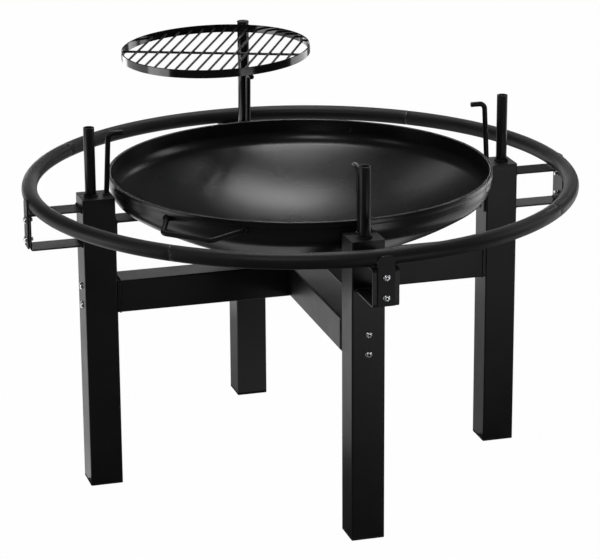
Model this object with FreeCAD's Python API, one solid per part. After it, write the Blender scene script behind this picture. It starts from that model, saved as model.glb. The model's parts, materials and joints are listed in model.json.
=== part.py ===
"""Fire pit on four legs, with a loose dished bowl, a round tube rail and a grate that swings on a pole.

Units are millimetres.  The origin is on the floor under the centre of the pit, +Z is up.
The legs stand on the +X (right), +Y (back), -X (left) and -Y (front) sides.  Everything that
belongs to one leg is drawn as if that leg stood on +X, with X pointing outwards, and is then
turned about Z to its own side.
"""
import FreeCAD, Part
import math
import os

V = FreeCAD.Vector
UP = V(0, 0, 1)
OUTWARDS = V(1, 0, 0)
ORIGIN = V(0, 0, 0)

# ---------------------------------------------------------------- driving dimensions

# legs: square tube, a plate on top, a plastic cap underneath
leg_side = 63.5
leg_wall = 2.0
leg_corner = 3.0            # outer corner radius of the square tube
leg_height = 580.0          # floor to the top of the leg
leg_top_plate = 3.0
foot_lip = 4.0              # part of the foot cap that the tube stands on
foot_plug_depth = 22.0      # part of the foot cap inside the tube
foot_plug_wall = 2.5
foot_clearance = 0.2

# cross of two beams at mid height
beam_drop = 197.0           # leg's top to the centre line of the beams
beam_end_plate = 5.0
frame_bolt_spacing = 38.0   # the two bolts of a leg stand one above the other

# fasteners
bolt_diameter = 8.0
bolt_hole_clearance = 0.5   # radial
bolt_head_radius = 7.0
bolt_head_height = 4.4
bolt_socket = 5.0           # across flats
bolt_socket_depth = 2.6
bolt_end = 5.0              # thread that stands out of the last piece
nut_flats = 13.0
nut_height = 6.5

# tube stubs and hook rods on top of the legs
stub_outer = 21.0
stub_wall = 2.0
stub_height = 134.0
stub_offset = 9.0           # outwards from the leg centre
hook_diameter = 10.0
hook_inset = 10.0           # outwards from the leg's inner face
hook_height = 124.0         # leg top to the top of the bent arm
hook_arm = 28.0             # rod axis to the end of the arm
hook_bend = 11.0            # radius of the rod axis in the bend
hook_lean = 3.0             # degrees towards the pit

# rail of bent tube, on bolted holders
rail_tube = 30.0
rail_wall = 2.0
rail_drop = 4.0             # leg's top to the tube's axis
rail_joint_gap = 0.8
rail_joint_turn = 3.0       # degrees that the joints are turned from midway between the legs
spigot_length = 80.0
spigot_wall = 2.0
spigot_clearance = 0.1
bracket_width = 50.0
bracket_thickness = 3.0
bracket_reach = 101.25      # leg face to the bracket's outer face
bracket_gap = 2.5           # left between the bracket and the rail above it
bracket_depth = 71.0
bracket_bend = 6.0          # outer bend radius
holder_width = 32.0
holder_thickness = 3.0
holder_over_axis = 7.0      # holder's top above the tube's axis
holder_bottom_rise = 2.0    # holder's lower end above the bracket's underside
holder_chamfer = 7.0
holder_bolt_spacing = 38.0
holder_bolt_drop = 34.5     # bracket's top to midway between its two bolts
holder_bolt_end = 7.0       # thread that stands out behind the bracket

# bowl
bowl_radius = 373.0
bowl_gap = 4.25             # wall under the rim to the legs' inner faces
bowl_sheet = 3.0
bowl_hem = 12.0             # height of the folded rim
bowl_rim_rise = 21.0        # rim above the top of the legs
bowl_flange = 22.0          # upright wall under the rim, hem included
bowl_knuckle = 37.0         # outer radius between wall and crown
bowl_depth = 158.3          # rim to the underside of the bottom
handle_rod = 10.0
handle_drop = 19.0          # rim to the rod's axis at its feet
handle_droop = 6.0          # the grip is this much lower than the feet
handle_foot_spacing = 165.0
handle_grip = 102.0
handle_reach = 58.0         # bowl wall to the grip's axis
handle_bend = 14.0
handle_azimuth = 45.0       # degrees, the second handle is opposite

# bowl seats
seat_width = 50.0
seat_thickness = 4.0
seat_reach = 45.0           # leg face to the seat's inner end
seat_flange = 48.0          # height of the flange against the leg
seat_bend = 7.0             # outer bend radius
seat_bolt_drop = 39.0       # seat's top to its bolt
seat_gap = 0.3              # left between the seats and the bowl
insert_radius = 5.5
insert_depth = 14.0
insert_wall_clearance = 0.1

# grate
pole_clearance = 0.08       # radial, pole on stub
pole_wall = 1.2
pole_float = 0.5            # pole's lower end above the leg
pole_length = 219.5
pole_cap_head = 3.0
pole_cap_lip = 0.5
pole_cap_stem = 16.0
hoop_radius = 188.0         # outer radius of the band
hoop_band = 16.0            # height of the band
hoop_thickness = 3.0
hoop_drop = 2.0             # pole's upper end above the band
hoop_sag = 1.3              # degrees, far side down
hoop_roll = 1.4             # degrees, round the line from pole to hoop centre
grate_swing = 31.0          # degrees from pointing at the pit's axis, towards the left leg
wire_diameter = 4.5
wire_spacing = 22.4
wire_edge_gap = 26.0        # least space between the last wire's axis and the band
wire_turn = 3.0             # degrees between the wires and the line from pole to hoop centre
cross_bar_diameter = 5.0

# ---------------------------------------------------------------- sizes that follow

SIDES = {"right": 0.0, "back": 90.0, "left": 180.0, "front": 270.0}
GRATE_SIDE = "back"

wall_radius = bowl_radius - bowl_sheet
leg_inner_face = wall_radius + bowl_gap
leg_radius = leg_inner_face + leg_side / 2
leg_outer_face = leg_radius + leg_side / 2
leg_tube_top = leg_height - leg_top_plate
beam_height = leg_height - beam_drop
bolt_hole = bolt_diameter / 2 + bolt_hole_clearance
bracket_face = leg_outer_face + bracket_reach
rail_height = leg_height - rail_drop
bracket_top = rail_height - rail_tube / 2 - bracket_gap
bracket_bolt_height = bracket_top - holder_bolt_drop
rail_radius = bracket_face - rail_tube / 2
stub_radius = leg_radius + stub_offset
rim_height = leg_height + bowl_rim_rise
knuckle_height = rim_height - bowl_flange
knuckle_centre = wall_radius - bowl_knuckle
dish_depth = bowl_depth - bowl_flange
bowl_crown = (knuckle_centre ** 2 + dish_depth ** 2 - bowl_knuckle ** 2) / (2 * (dish_depth - bowl_knuckle))
crown_angle = math.asin(knuckle_centre / (bowl_crown - bowl_knuckle))
crown_centre_height = knuckle_height + (bowl_crown - bowl_knuckle) * math.cos(crown_angle)
seat_inner_end = leg_inner_face - seat_reach
pole_bore = stub_outer / 2 + pole_clearance
pole_radius = pole_bore + pole_wall
pole_foot = leg_height + pole_float
pole_top = pole_foot + pole_length
wires_each_side = int((hoop_radius - hoop_thickness - wire_edge_gap) / wire_spacing)


def bowl_underside(radius):
    """Height of the bowl's outer surface at a distance from the pit's axis."""
    if radius <= bowl_crown * math.sin(crown_angle):
        return crown_centre_height - math.sqrt(bowl_crown ** 2 - radius ** 2)
    return knuckle_height - math.sqrt(bowl_knuckle ** 2 - (radius - knuckle_centre) ** 2)


seat_top = bowl_underside(seat_inner_end) - seat_gap
seat_bolt_height = seat_top - seat_bolt_drop


# ---------------------------------------------------------------- helpers

def block(x0, x1, y0, y1, z0, z1):
    return Part.makeBox(x1 - x0, y1 - y0, z1 - z0, V(x0, y0, z0))


def rod(radius, start, end):
    """Round bar between two points."""
    return Part.makeCylinder(radius, start.distanceToPoint(end), start, end.sub(start))


def pipe(outer, inner, start, end):
    return rod(outer, start, end).cut(rod(inner, start, end))


def edges_along(shape, axis):
    """The edges of a block that run along an axis."""
    return [e for e in shape.Edges if abs(e.tangentAt(e.FirstParameter).dot(axis)) > 0.9]


def disc(centre, axis, radius):
    return Part.Face(Part.Wire([Part.makeCircle(radius, centre, axis)]))


def curved_tube(outer, inner, sweep, first_angle):
    """Part of a round tube bent about the pit's axis at the rail's radius and height."""
    centre = V(rail_radius, 0, rail_height)
    across = V(0, 1, 0)
    tube = disc(centre, across, outer).cut(disc(centre, across, inner)).Faces[0].revolve(ORIGIN, UP, sweep)
    tube.rotate(ORIGIN, UP, first_angle)
    return tube


def corner_path(points, radius):
    """Wire through straight runs whose inner corners are rounded with one radius."""
    edges = []
    start = points[0]
    for before, corner, after in zip(points, points[1:], points[2:]):
        towards = before.sub(corner).normalize()
        away = after.sub(corner).normalize()
        half = towards.getAngle(away) / 2
        cut = radius / math.tan(half)
        middle_way = towards.add(away).normalize()
        middle = corner.add(middle_way.multiply(radius / math.sin(half) - radius))
        arc_start = corner.add(V(towards).multiply(cut))
        arc_end = corner.add(V(away).multiply(cut))
        edges.append(Part.makeLine(start, arc_start))
        edges.append(Part.Arc(arc_start, middle, arc_end).toShape())
        start = arc_end
    edges.append(Part.makeLine(start, points[-1]))
    return Part.Wire(edges)


def bent_rod(points, bend, radius):
    """Round bar that follows straight runs with rounded corners."""
    path = corner_path(points, bend)
    section = Part.Wire([Part.makeCircle(radius, points[0], points[1].sub(points[0]))])
    return path.makePipeShell([section], True, False)


def bent_plate(profile, bend, thickness, width):
    """Flat bar bent along a profile in the XZ plane.

    The profile runs along the plate's outer side, and the plate lies to the left of it.
    """
    outer = corner_path(profile, bend)
    directions = [b.sub(a).normalize() for a, b in zip(profile, profile[1:])]
    normals = [V(-d.z, 0, d.x) for d in directions]
    inner_points = [profile[0].add(V(normals[0]).multiply(thickness))]
    for corner, first, second in zip(profile[1:], normals, normals[1:]):
        inner_points.append(corner.add(V(first).multiply(thickness)).add(V(second).multiply(thickness)))
    inner_points.append(profile[-1].add(V(normals[-1]).multiply(thickness)))
    inner = corner_path(inner_points, bend - thickness)
    ends = [Part.makeLine(profile[0], inner_points[0]), Part.makeLine(profile[-1], inner_points[-1])]
    edges = Part.__sortEdges__(outer.Edges + inner.Edges + ends)
    plate = Part.Face(Part.Wire(edges)).extrude(V(0, width, 0))
    plate.translate(V(0, -width / 2, 0))
    return plate


def hexagon(flats, height, base, axis):
    """Hexagonal prism that stands on base, along axis."""
    corner_radius = flats / 2 / math.cos(math.radians(30))
    turn = FreeCAD.Rotation(UP, axis)
    corners = []
    for index in range(7):
        angle = math.radians(60 * index)
        flat = V(corner_radius * math.cos(angle), corner_radius * math.sin(angle), 0)
        corners.append(base.add(turn.multVec(flat)))
    return Part.Face(Part.makePolygon(corners)).extrude(V(axis).normalize().multiply(height))


def moved_to_side(shape, side):
    """Turn what was drawn on the +X side to its own side of the pit."""
    turned = shape.copy()
    turned.rotate(ORIGIN, UP, SIDES[side])
    return turned


def square_tube(start, end, along_x):
    """The frame's square tube, upright or along X, between two distances on its axis."""
    half = leg_side / 2
    length = end - start
    outer = block(-half, half, -half, half, 0, length)
    outer = outer.makeFillet(leg_corner, edges_along(outer, UP))
    hollow = half - leg_wall
    inner = block(-hollow, hollow, -hollow, hollow, 0, length)
    inner = inner.makeFillet(leg_corner - leg_wall, edges_along(inner, UP))
    tube = outer.cut(inner)
    if along_x:
        tube.rotate(ORIGIN, V(0, 1, 0), 90)
        tube.translate(V(start, 0, beam_height))
    else:
        tube.translate(V(leg_radius, 0, start))
    return tube


def button_bolt(head_seat, length, outwards):
    """Round-headed screw with a hexagon socket; head_seat is the middle of the head's underside."""
    outwards = V(outwards).normalize()
    head = Part.makeCylinder(bolt_head_radius, bolt_head_height, head_seat, outwards)
    most = bolt_head_height * 0.9
    top_edge = [e for e in head.Edges if e.BoundBox.Center.sub(head_seat).dot(outwards) > most]
    head = head.makeFillet(bolt_head_height * 0.55, top_edge)
    socket_floor = head_seat.add(V(outwards).multiply(bolt_head_height - bolt_socket_depth))
    head = head.cut(hexagon(bolt_socket, bolt_socket_depth * 2, socket_floor, outwards))
    tip = head_seat.sub(V(outwards).multiply(length))
    return head.fuse(rod(bolt_diameter / 2, tip, head_seat)).removeSplitter()


def frame_bolt_heights():
    return [beam_height - frame_bolt_spacing / 2, beam_height + frame_bolt_spacing / 2]


def holder_bolt_heights():
    return [bracket_bolt_height - holder_bolt_spacing / 2, bracket_bolt_height + holder_bolt_spacing / 2]


# ---------------------------------------------------------------- one leg and what it carries

def leg():
    tube = square_tube(foot_lip, leg_tube_top, False)
    for height in frame_bolt_heights():
        tube = tube.cut(rod(bolt_hole, V(leg_inner_face - 1, 0, height), V(leg_outer_face + 1, 0, height)))
    insert_hole = insert_radius + insert_wall_clearance
    outside = V(leg_inner_face - 1, 0, seat_bolt_height)
    inside = V(leg_inner_face + leg_wall + 1, 0, seat_bolt_height)
    return tube.cut(rod(insert_hole, outside, inside))


def leg_top_plate_shape():
    half = leg_side / 2
    plate = block(leg_inner_face, leg_outer_face, -half, half, leg_tube_top, leg_height)
    return plate.makeFillet(leg_corner, edges_along(plate, UP))


def foot_cap():
    half = leg_side / 2
    lip = block(leg_inner_face, leg_outer_face, -half, half, 0, foot_lip)
    lip = lip.makeFillet(leg_corner, edges_along(lip, UP))
    plug = half - leg_wall - foot_clearance
    hollow = plug - foot_plug_wall
    top = foot_lip + foot_plug_depth
    skirt = block(leg_radius - plug, leg_radius + plug, -plug, plug, foot_lip, top)
    skirt = skirt.cut(block(leg_radius - hollow, leg_radius + hollow, -hollow, hollow, foot_lip, top))
    skirt = skirt.makeFillet(leg_corner - leg_wall, [e for e in edges_along(skirt, UP) if outermost(e, plug)])
    return lip.fuse(skirt).removeSplitter()


def outermost(edge, plug):
    """True for the four outer corners of the foot cap's skirt."""
    middle = edge.BoundBox.Center
    return abs(abs(middle.y) - plug) < 0.01 and abs(abs(middle.x - leg_radius) - plug) < 0.01


def stub():
    """Open round tube; the grate's pole slides over the one at the back."""
    return pipe(stub_outer / 2, stub_outer / 2 - stub_wall,
                V(stub_radius, 0, leg_height), V(stub_radius, 0, leg_height + stub_height))


def hook_rod():
    """Round bar with a short arm bent towards the pit, for hanging tools."""
    foot = V(leg_inner_face + hook_inset, 0, leg_height)
    bar_top = hook_height - hook_diameter / 2
    shift = bar_top * math.tan(math.radians(hook_lean))
    overrun = hook_diameter
    below = V(foot.x + overrun * math.tan(math.radians(hook_lean)), 0, leg_height - overrun)
    elbow = V(foot.x - shift, 0, leg_height + bar_top)
    tip = V(elbow.x - hook_arm, 0, elbow.z)
    bar = bent_rod([below, elbow, tip], hook_bend, hook_diameter / 2)
    reach = hook_height * 2
    leg_room = block(leg_inner_face - reach, leg_outer_face, -reach, reach, leg_height - reach, leg_height)
    return bar.cut(leg_room)


def rail_bracket():
    """Flat bar bent to a U: two arms from the leg's outer face and the plate between them."""
    bottom = bracket_top - bracket_depth
    profile = [V(leg_outer_face, 0, bottom), V(bracket_face, 0, bottom),
               V(bracket_face, 0, bracket_top), V(leg_outer_face, 0, bracket_top)]
    bar = bent_plate(profile, bracket_bend, bracket_thickness, bracket_width)
    for height in holder_bolt_heights():
        bar = bar.cut(rod(bolt_diameter / 2, V(bracket_face - 20, 0, height), V(bracket_face + 1, 0, height)))
    return bar


def rail_holder_plate():
    """Flat bar outside the bracket, with cut corners, that the rail is welded to."""
    bottom = bracket_top - bracket_depth + holder_bottom_rise
    top = rail_height + holder_over_axis
    half = holder_width / 2
    outline = [V(0, -half, bottom), V(0, half, bottom), V(0, half, top - holder_chamfer),
               V(0, half - holder_chamfer, top), V(0, holder_chamfer - half, top),
               V(0, -half, top - holder_chamfer), V(0, -half, bottom)]
    plate = Part.Face(Part.makePolygon(outline)).extrude(V(holder_thickness, 0, 0))
    plate.translate(V(bracket_face, 0, 0))
    for height in holder_bolt_heights():
        start = V(bracket_face - 1, 0, height)
        plate = plate.cut(rod(bolt_hole, start, V(bracket_face + holder_thickness + 1, 0, height)))
    return plate


def rail_bolts():
    """Two screws through the holder plate into the threads of the bracket."""
    head_seat = bracket_face + holder_thickness
    length = holder_thickness + bracket_thickness + holder_bolt_end
    return [button_bolt(V(head_seat, 0, height), length, OUTWARDS) for height in holder_bolt_heights()]


def rail_segment():
    """Quarter of the rail, with the leg's holder plate near its middle."""
    gap_angle = math.degrees(rail_joint_gap / rail_radius)
    sweep = 90.0 - gap_angle
    return curved_tube(rail_tube / 2, rail_tube / 2 - rail_wall, sweep, rail_joint_turn - sweep / 2)


def rail_spigot():
    """Short bent tube inside the rail's joint, drawn at the joint after this leg's segment."""
    outer = rail_tube / 2 - rail_wall - spigot_clearance
    sweep = math.degrees(spigot_length / rail_radius)
    return curved_tube(outer, outer - spigot_wall, sweep, rail_joint_turn + 45.0 - sweep / 2)


def bowl_seat():
    """Angle of flat bar: a flange on the leg's inner face and a seat for the bowl."""
    profile = [V(seat_inner_end, 0, seat_top), V(leg_inner_face, 0, seat_top),
               V(leg_inner_face, 0, seat_top - seat_flange)]
    reversed_profile = profile[::-1]
    angle = bent_plate(reversed_profile, seat_bend, seat_thickness, seat_width)
    start = V(leg_inner_face - seat_thickness - 1, 0, seat_bolt_height)
    return angle.cut(rod(bolt_hole, start, V(leg_inner_face + 1, 0, seat_bolt_height)))


def seat_bolt():
    head_seat = V(leg_inner_face - seat_thickness, 0, seat_bolt_height)
    return button_bolt(head_seat, seat_thickness + insert_depth, V(-1, 0, 0))


def seat_insert():
    """Threaded sleeve set in the leg's wall for the seat's screw."""
    return pipe(insert_radius, bolt_diameter / 2,
                V(leg_inner_face, 0, seat_bolt_height), V(leg_inner_face + insert_depth, 0, seat_bolt_height))


# ---------------------------------------------------------------- cross frame

def through_beam():
    """Left to right beam, between the end plates on the legs' inner faces."""
    reach = leg_inner_face - beam_end_plate
    return square_tube(-reach, reach, True)


def half_beam():
    """Beam from the through beam's side to one leg, drawn towards +X."""
    return square_tube(leg_side / 2, leg_inner_face - beam_end_plate, True)


def end_plate():
    half = leg_side / 2
    low = beam_height - half
    plate = block(leg_inner_face - beam_end_plate, leg_inner_face, -half, half, low, low + leg_side)
    plate = plate.makeFillet(leg_corner, edges_along(plate, OUTWARDS))
    for height in frame_bolt_heights():
        plate = plate.cut(rod(bolt_hole, V(leg_inner_face - 20, 0, height), V(leg_inner_face + 1, 0, height)))
    return plate


def frame_bolts():
    """Two screws through the whole leg and the end plate into welded nuts."""
    length = leg_side + beam_end_plate + nut_height + bolt_end
    return [button_bolt(V(leg_outer_face, 0, height), length, OUTWARDS) for height in frame_bolt_heights()]


def frame_nuts():
    """Nuts welded behind the end plate, inside the beam."""
    nuts = []
    plate_back = leg_inner_face - beam_end_plate
    for height in frame_bolt_heights():
        base = V(plate_back, 0, height)
        nut = hexagon(nut_flats, nut_height, base, V(-1, 0, 0))
        nuts.append(nut.cut(rod(bolt_diameter / 2, V(plate_back - nut_height - 1, 0, height), base)))
    return nuts


# ---------------------------------------------------------------- bowl

def arc(start, middle, end):
    return Part.Arc(start, middle, end).toShape()


def round_point(centre, radius, angle):
    """Point in the XZ plane; the angle is measured down from +X."""
    return V(centre.x + radius * math.cos(angle), 0, centre.z - radius * math.sin(angle))


def bowl():
    """Pressed dish: shallow crown, knuckle, short upright wall and a folded rim."""
    crown = V(0, 0, crown_centre_height)
    knuckle = V(knuckle_centre, 0, knuckle_height)
    tangent = math.pi / 2 - crown_angle
    inside = wall_radius - bowl_sheet
    hem_foot = rim_height - bowl_hem
    fold = (bowl_radius - inside) / 2
    fold_height = rim_height - fold
    edges = []
    for offset in (0.0, bowl_sheet):
        crown_radius = bowl_crown - offset
        knuckle_radius = bowl_knuckle - offset
        bottom = V(0, 0, crown_centre_height - crown_radius)
        joint = round_point(crown, crown_radius, tangent)
        edges.append(arc(bottom, round_point(crown, crown_radius, (tangent + math.pi / 2) / 2), joint))
        edges.append(arc(joint, round_point(knuckle, knuckle_radius, tangent / 2),
                         V(knuckle_centre + knuckle_radius, 0, knuckle_height)))
    edges.append(Part.makeLine(V(wall_radius, 0, knuckle_height), V(wall_radius, 0, hem_foot)))
    edges.append(Part.makeLine(V(wall_radius, 0, hem_foot), V(bowl_radius, 0, hem_foot)))
    edges.append(Part.makeLine(V(bowl_radius, 0, hem_foot), V(bowl_radius, 0, fold_height)))
    fold_top = V(bowl_radius - fold, 0, rim_height)
    edges.append(arc(V(bowl_radius, 0, fold_height), fold_top, V(inside, 0, fold_height)))
    edges.append(Part.makeLine(V(inside, 0, fold_height), V(inside, 0, knuckle_height)))
    crown_bottom = crown_centre_height - bowl_crown
    edges.append(Part.makeLine(V(0, 0, crown_bottom), V(0, 0, crown_bottom + bowl_sheet)))
    outline = Part.Wire(Part.__sortEdges__(edges))
    return Part.Face(outline).revolve(ORIGIN, UP, 360)


def bowl_handle(azimuth):
    """Bent rod whose two feet are welded to the bowl's wall under the rim."""
    height = rim_height - handle_drop
    foot = handle_foot_spacing / 2
    grip = handle_grip / 2
    grip_radius = wall_radius + handle_reach
    foot_radius = math.sqrt(wall_radius ** 2 - foot ** 2)
    spread = (foot - grip) / (grip_radius - foot_radius)
    fall = handle_droop / (grip_radius - foot_radius)
    overrun = handle_rod * 2
    points = []
    for sign in (1, -1):
        start = V(foot_radius - overrun, sign * (foot + spread * overrun), height + fall * overrun)
        bend = V(grip_radius, sign * grip, height - handle_droop)
        points.extend([start, bend] if sign == 1 else [bend, start])
    handle = bent_rod(points, handle_bend, handle_rod / 2)
    wall = Part.makeCylinder(wall_radius, handle_rod * 4, V(0, 0, height - handle_rod * 2))
    handle = handle.cut(wall)
    handle.rotate(ORIGIN, UP, azimuth)
    return handle


# ---------------------------------------------------------------- grate

def on_grate(shape):
    """Place what was drawn in the hoop's frame: origin at the weld on the pole, X away from the pole."""
    placed = shape.copy()
    placed.rotate(ORIGIN, OUTWARDS, hoop_roll)
    placed.rotate(ORIGIN, V(0, 1, 0), hoop_sag)
    placed.translate(V(pole_radius, 0, pole_top - hoop_drop))
    return swung(placed)


def swung(shape):
    """Turn about the pole's axis from outwards to the rest position, and stand it on its leg."""
    placed = shape.copy()
    placed.rotate(ORIGIN, UP, 180 - grate_swing)
    placed.translate(V(stub_radius, 0, 0))
    return moved_to_side(placed, GRATE_SIDE)


def grate_pole():
    tube = pipe(pole_radius, pole_bore, V(0, 0, pole_foot), V(0, 0, pole_top))
    return swung(tube)


def grate_pole_cap():
    """Plastic plug with a slightly wider head."""
    head = Part.makeCylinder(pole_radius + pole_cap_lip, pole_cap_head, V(0, 0, pole_top))
    top_edge = [e for e in head.Edges if e.BoundBox.ZMin > pole_top + pole_cap_head * 0.9]
    head = head.makeFillet(pole_cap_head * 0.4, top_edge)
    stem = Part.makeCylinder(pole_bore - pole_clearance, pole_cap_stem, V(0, 0, pole_top - pole_cap_stem))
    return swung(head.fuse(stem).removeSplitter())


def grate_hoop():
    """Flat band rolled to a ring, welded to the pole's side."""
    top = V(hoop_radius, 0, 0)
    bottom = V(hoop_radius, 0, -hoop_band)
    band = on_grate(pipe(hoop_radius, hoop_radius - hoop_thickness, bottom, top))
    pole = swung(rod(pole_radius, V(0, 0, pole_foot), V(0, 0, pole_top)))
    return band.cut(pole)


def across_hoop(bar):
    """Trim a bar to the band's inner face and turn it to the wires' direction."""
    centre = V(hoop_radius, 0, -hoop_band * 2)
    trimmed = bar.common(Part.makeCylinder(hoop_radius - hoop_thickness, hoop_band * 3, centre))
    trimmed.rotate(centre, UP, wire_turn)
    return on_grate(trimmed)


def grate_cross_bar():
    height = cross_bar_diameter / 2 - hoop_band
    start = V(hoop_radius, -hoop_radius, height)
    bar = rod(cross_bar_diameter / 2, start, V(hoop_radius, hoop_radius, height))
    return across_hoop(bar)


def grate_wires():
    """Parallel wires that lie on the cross bar and end at the band."""
    height = cross_bar_diameter + wire_diameter / 2 - hoop_band
    wires = []
    for index in range(-wires_each_side, wires_each_side + 1):
        across = index * wire_spacing
        wire = rod(wire_diameter / 2, V(0, across, height), V(2 * hoop_radius, across, height))
        wires.append(across_hoop(wire))
    return wires


# ---------------------------------------------------------------- files

def write(name, shapes):
    """One STEP file per node; a list becomes a group of separate solids."""
    solids = []
    for shape in shapes:
        solids.extend(shape.Solids)
    for solid in solids:
        if not solid.isValid():
            raise ValueError("node " + name + " has a broken solid")
    whole = solids[0] if len(solids) == 1 else Part.makeCompound(solids)
    whole.exportStep("parts/" + name + ".step")


def on_every_leg(draw):
    """The same pieces on every leg, as one list."""
    pieces = []
    for side in SIDES:
        drawn = draw()
        for shape in drawn if isinstance(drawn, list) else [drawn]:
            pieces.append(moved_to_side(shape, side))
    return pieces


os.makedirs("parts", exist_ok=True)

for side in SIDES:
    write("leg_" + side, [moved_to_side(leg(), side)])
    write("foot_cap_" + side, [moved_to_side(foot_cap(), side)])
    write("stub_" + side, [moved_to_side(stub(), side)])
    write("hook_rod_" + side, [moved_to_side(hook_rod(), side)])
    write("rail_bracket_" + side, [moved_to_side(rail_bracket(), side)])
    write("rail_holder_plate_" + side, [moved_to_side(rail_holder_plate(), side)])
    write("rail_segment_" + side, [moved_to_side(rail_segment(), side)])
    write("bowl_seat_" + side, [moved_to_side(bowl_seat(), side)])
    write("leg_top_plate_" + side, [moved_to_side(leg_top_plate_shape(), side)])
    write("beam_end_plate_" + side, [moved_to_side(end_plate(), side)])

write("rail_bolts", on_every_leg(rail_bolts))
write("rail_spigots", on_every_leg(rail_spigot))
write("seat_bolts", on_every_leg(seat_bolt))
write("seat_inserts", on_every_leg(seat_insert))
write("cross_beam", [through_beam()])
write("cross_beam_half_front", [moved_to_side(half_beam(), "front")])
write("cross_beam_half_back", [moved_to_side(half_beam(), "back")])
write("frame_bolts", on_every_leg(frame_bolts))
write("frame_nuts", on_every_leg(frame_nuts))
write("bowl", [bowl()])
write("bowl_handle_right", [bowl_handle(handle_azimuth)])
write("bowl_handle_left", [bowl_handle(handle_azimuth + 180)])
write("grate_pole", [grate_pole()])
write("grate_pole_cap", [grate_pole_cap()])
write("grate_hoop", [grate_hoop()])
write("grate_cross_bar", [grate_cross_bar()])
write("grate_wires", grate_wires())
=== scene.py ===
"""Looks of the garden fire pit: coated steel frame, dished bowl, tube rail and swinging grate.

Metres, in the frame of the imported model: the floor is z = 0 and the pit's axis is the Z axis.
What repeats on every leg is made for the leg on +X and turned about Z to the other three.
"""
import json
import math

import bmesh
import bpy
from mathutils import Matrix, Vector


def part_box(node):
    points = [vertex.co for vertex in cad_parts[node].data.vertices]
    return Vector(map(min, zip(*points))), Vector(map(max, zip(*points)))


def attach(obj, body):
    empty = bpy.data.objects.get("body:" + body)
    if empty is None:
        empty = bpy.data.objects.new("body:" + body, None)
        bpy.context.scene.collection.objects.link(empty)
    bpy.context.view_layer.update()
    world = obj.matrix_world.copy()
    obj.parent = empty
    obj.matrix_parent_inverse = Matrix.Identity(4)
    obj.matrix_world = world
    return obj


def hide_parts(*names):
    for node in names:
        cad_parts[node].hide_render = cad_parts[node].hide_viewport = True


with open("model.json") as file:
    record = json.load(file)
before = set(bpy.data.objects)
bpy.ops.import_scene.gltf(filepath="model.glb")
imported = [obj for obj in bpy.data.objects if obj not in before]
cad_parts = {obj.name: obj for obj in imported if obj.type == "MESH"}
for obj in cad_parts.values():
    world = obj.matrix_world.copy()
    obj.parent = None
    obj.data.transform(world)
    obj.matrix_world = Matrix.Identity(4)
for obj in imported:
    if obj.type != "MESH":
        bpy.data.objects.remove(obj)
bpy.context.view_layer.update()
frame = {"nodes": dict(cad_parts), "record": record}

MM = 0.001
SIDES = {"right": 0.0, "back": 90.0, "left": 180.0, "front": 270.0}
X_AXIS = Vector((1, 0, 0))
Y_AXIS = Vector((0, 1, 0))
UP = Vector((0, 0, 1))


# ------------------------------------------------------------------ sizes read from the frame

def middle(node):
    low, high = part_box(node)
    return (low + high) / 2


LEG_LOW, LEG_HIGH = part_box("leg_right")
LEG_IN, LEG_OUT = LEG_LOW.x, LEG_HIGH.x
LEG_HALF = LEG_HIGH.y
LEG_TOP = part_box("leg_top_plate_right")[1].z
STUB_LOW, STUB_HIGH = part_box("stub_right")
STUB_AT = middle("stub_right").x
STUB_RADIUS = (STUB_HIGH.y - STUB_LOW.y) / 2
BRACKET_LOW, BRACKET_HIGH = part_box("rail_bracket_right")
HOLDER_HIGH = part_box("rail_holder_plate_right")[1]
RAIL_RADIUS = 15 * MM                  # of the tube
RAIL_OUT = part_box("rail_holder_plate_right")[0].x    # the tube touches the holder plate here
RAIL_BEND = RAIL_OUT - RAIL_RADIUS                   # pit's axis to the tube's axis
RAIL_HEIGHT = middle("rail_segment_right").z
POLE_LOW, POLE_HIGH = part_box("grate_pole")
POLE_AT = Vector((0, (POLE_LOW.y + POLE_HIGH.y) / 2, 0))
POLE_RADIUS = (POLE_HIGH.x - POLE_LOW.x) / 2
BOWL_LOW, BOWL_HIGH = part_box("bowl")
RIM_TOP = BOWL_HIGH.z
BOWL_RADIUS = 373 * MM


# ------------------------------------------------------------------ mesh helpers

def sharp_edges(bm, degrees=30.0):
    limit = math.radians(degrees)
    return [e for e in bm.edges if len(e.link_faces) == 2 and e.calc_face_angle(0.0) > limit]


def ease(bm, width, segments=2, edges=None):
    """Round sharp edges with a small radius."""
    picked = sharp_edges(bm) if edges is None else edges
    bmesh.ops.bevel(bm, geom=picked, offset=width, offset_type="OFFSET", segments=segments,
                    profile=0.5, affect="EDGES", material=-1, clamp_overlap=True)


def add_into(bm, part, matrix=None):
    """Copy one bmesh into another, moved by a matrix."""
    mesh = bpy.data.meshes.new("part")
    part.to_mesh(mesh)
    if matrix is not None:
        mesh.transform(matrix)
    bm.from_mesh(mesh)
    bpy.data.meshes.remove(mesh)


def piece(name, bm, body, material, replaces=(), smooth=35.0, flat=False):
    """Turn a bmesh into a finished object that rides on a body; flat keeps large faces evenly shaded."""
    bmesh.ops.recalc_face_normals(bm, faces=bm.faces)
    mesh = bpy.data.meshes.new(name)
    bm.to_mesh(mesh)
    bm.free()
    mesh.shade_smooth()
    mesh.set_sharp_from_angle(angle=math.radians(smooth))
    mesh.materials.append(material)
    made = bpy.data.objects.new(name, mesh)
    bpy.context.scene.collection.objects.link(made)
    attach(made, body)
    if replaces:
        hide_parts(*replaces)
    if flat:
        weighting = made.modifiers.new("flat faces", "WEIGHTED_NORMAL")
        weighting.keep_sharp = True
    return made


def facing(point, direction):
    """Matrix that puts a shape drawn on +Z at a point, along a direction."""
    return Matrix.Translation(point) @ direction.to_track_quat("Z", "Y").to_matrix().to_4x4()


def side_turn(side):
    return Matrix.Rotation(math.radians(SIDES[side]), 4, "Z")


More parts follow.
